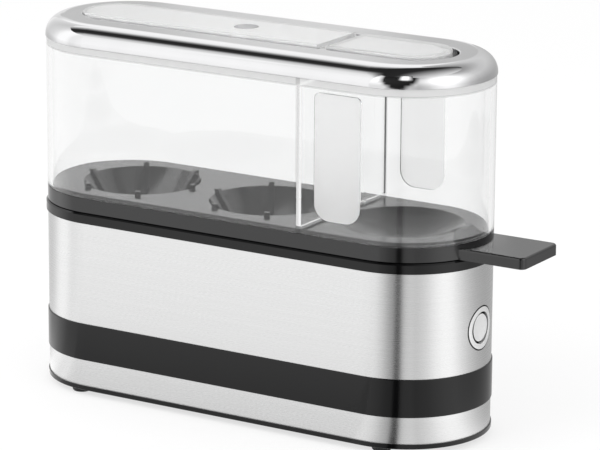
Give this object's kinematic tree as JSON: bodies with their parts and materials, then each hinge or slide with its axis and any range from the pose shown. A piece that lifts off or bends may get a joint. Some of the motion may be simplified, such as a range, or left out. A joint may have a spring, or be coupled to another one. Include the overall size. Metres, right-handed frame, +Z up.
{
  "type": "electric egg cooker",
  "caption": "Compact electric egg cooker: round-ended brushed steel base with start button, black lift-out egg tray with flat handle, clear lid with chrome frame and measuring cup.",
  "frame": {"origin": "middle of the round-ended body's footprint, on the table that the four feet stand on", "axes": "+X along the body towards the button and the handle, +Y to the rear where the cord comes in, +Z up"},
  "size_m": [0.1996, 0.0626, 0.1368],
  "materials": {
    "black_satin": "satin black moulding",
    "housing_plastic": "matt black moulding",
    "tray_plastic": "half-gloss black moulding",
    "foot_rubber": "matt black rubber",
    "seal_rubber": "grey silicone",
    "sleeve_steel": "fine brushing along the body",
    "dish_steel": "fine satin",
    "heater_steel": "annealed steel",
    "screw_steel": "zinc plated",
    "spreader_aluminium": "as rolled",
    "pin_brass": "bright",
    "electric_black": "matt",
    "board_green": "solder mask",
    "relay_blue": "matt",
    "connector_ivory": "matt",
    "light_lens": "clear red lens",
    "wire_brown": "insulation",
    "wire_blue": "insulation",
    "wire_white": "insulation",
    "ring_silver": "fine satin",
    "cap_silver": "satin silver",
    "lid_clear": "clear",
    "grip_satin": "clear, satin face",
    "trim_chrome": "mirror",
    "window_clear": "clear, a little milky",
    "cup_clear": "clear, a little milky"
  },
  "bodies": {
    "base": {"base_plate": "black_satin", "trim_band": "black_satin", "collar": "black_satin", "cord_gland": "black_satin", "gland_nut": "black_satin", "inner_housing": "housing_plastic", "rubber_feet": "foot_rubber", "dish_seal": "seal_rubber", "lower_sleeve": "sleeve_steel", "upper_sleeve": "sleeve_steel", "heating_dish": "dish_steel", "heating_element": "heater_steel", "thermostat_clip": "heater_steel", "base_screws": "screw_steel", "heat_spreader": "spreader_aluminium", "thermal_fuse": "spreader_aluminium", "heater_pins": "pin_brass", "thermostat": "electric_black", "tact_switch": "electric_black", "buzzer": "electric_black", "control_board": "board_green", "power_relay": "relay_blue", "board_connectors": "connector_ivory", "terminal_block": "connector_ivory", "indicator_light": "light_lens", "live_wire": "wire_brown", "neutral_wire": "wire_blue", "heater_wire": "wire_white", "button_ring": "ring_silver"},
    "start_button": {"button_cap": "cap_silver", "button_plunger": "connector_ivory", "switch_plunger": "connector_ivory"},
    "tray": {"egg_tray": "tray_plastic"},
    "lid": {"lid_shell": "lid_clear", "lid_grips": "grip_satin", "lid_trim_ring": "trim_chrome", "lid_window": "window_clear"},
    "cup": {"measuring_cup": "cup_clear"}
  },
  "joints": [
    {"name": "tray_lift", "type": "slide", "parent": "base", "child": "tray", "axis": [0, 0, 1], "range_m": [0, 0.06]},
    {"name": "lid_lift", "type": "slide", "parent": "tray", "child": "lid", "axis": [0, 0, 1], "range_m": [0, 0.08]},
    {"name": "cup_lift", "type": "slide", "parent": "lid", "child": "cup", "axis": [0, 0, 1], "range_m": [0, 0.06]},
    {"name": "button_press", "type": "slide", "parent": "base", "child": "start_button", "axis": [-1, 0, 0], "range_m": [0, 0.0012], "stiffness_N_per_m": 1500}
  ]
}
